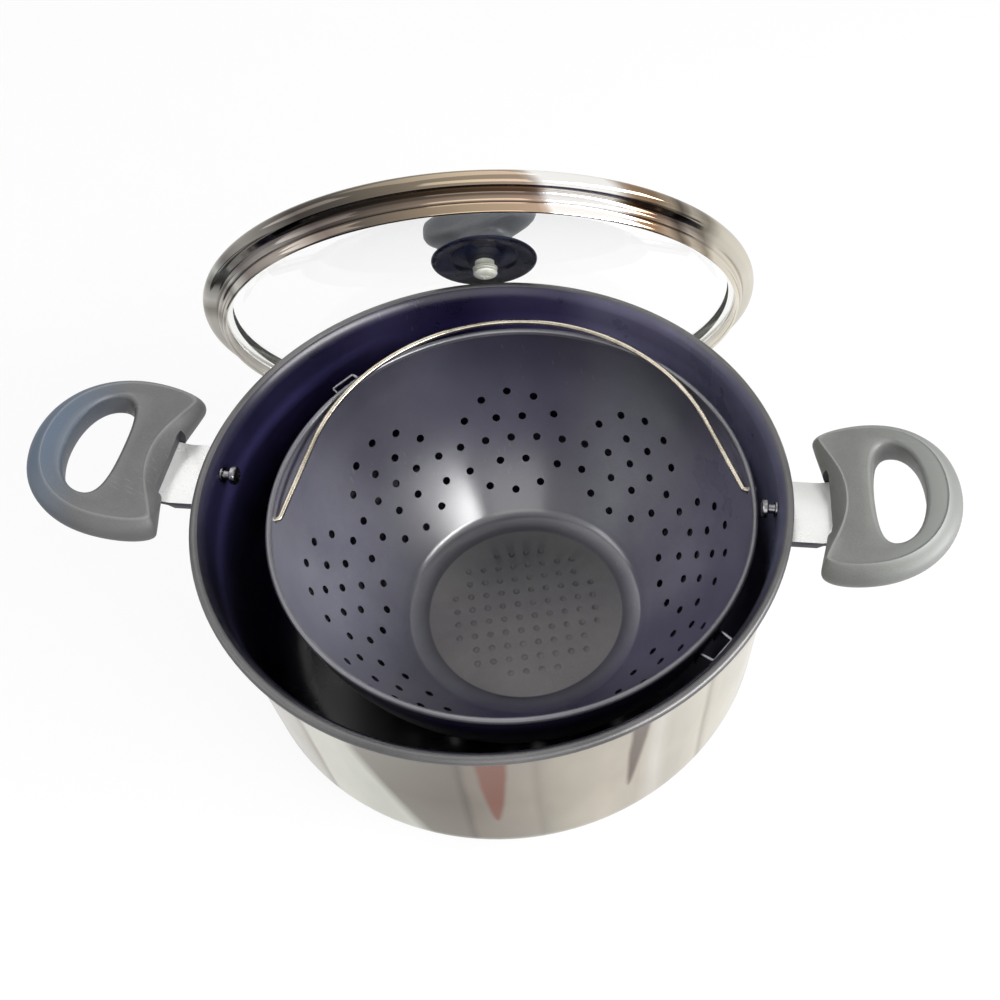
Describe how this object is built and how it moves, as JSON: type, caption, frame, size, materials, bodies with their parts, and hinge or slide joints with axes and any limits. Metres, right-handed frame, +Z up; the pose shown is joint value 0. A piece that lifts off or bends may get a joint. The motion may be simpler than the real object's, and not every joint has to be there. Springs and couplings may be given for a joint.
{
  "type": "strainer pot",
  "caption": "Round casserole pot with side handles, a lift-out perforated strainer bowl on a swing bail, and a domed glass lid that leans on its rim.",
  "frame": {"origin": "centre of the pot's flat underside, where it stands on the hob or table", "axes": "+Z up, X through both side handles, +Y towards the leaning lid"},
  "size_m": [0.3834, 0.277, 0.2282],
  "materials": {
    "pot_steel": "polished outside, dark non-stick inside",
    "strainer_coating": "satin non-stick coating",
    "bright_steel": "bright polished",
    "ring_steel": "mirror polished",
    "zinc": "zinc plated",
    "phenolic": "satin moulded",
    "bail_wire": "bright drawn wire",
    "brass": "turned",
    "gasket": "matt",
    "glass": "clear, polished"
  },
  "bodies": {
    "pot": {"pot_body": "pot_steel", "left_peg": "bright_steel", "left_handle_bracket": "bright_steel", "left_handle": "phenolic", "left_handle_screw": "zinc", "left_handle_insert": "brass", "right_peg": "bright_steel", "right_handle_bracket": "bright_steel", "right_handle": "phenolic", "right_handle_screw": "zinc", "right_handle_insert": "brass"},
    "strainer": {"strainer_bowl": "strainer_coating", "rear_loop": "bright_steel", "front_loop": "bright_steel"},
    "bail": {"bail": "bail_wire"},
    "lid": {"lid_ring": "ring_steel", "lid_glass": "glass", "knob_screw": "zinc", "knob_washer": "zinc", "knob_gasket": "gasket", "knob_base": "phenolic", "knob_insert": "brass", "knob_grip": "phenolic"}
  },
  "joints": [
    {"name": "strainer_lift", "type": "slide", "parent": "pot", "child": "strainer", "axis": [-0.28, -0.39, 0.8772], "range_m": [0, 0.08]},
    {"name": "bail_swing", "type": "hinge", "parent": "strainer", "child": "bail", "pos_m": [0.0068, 0.0007, 0.0938], "axis": [0.9877, 0.1564, 0], "range_deg": [0, 169]},
    {"name": "lid_slide", "type": "slide", "parent": "pot", "child": "lid", "axis": [-0.1612, 0.8959, 0.4141], "range_m": [0, 0.12]}
  ]
}
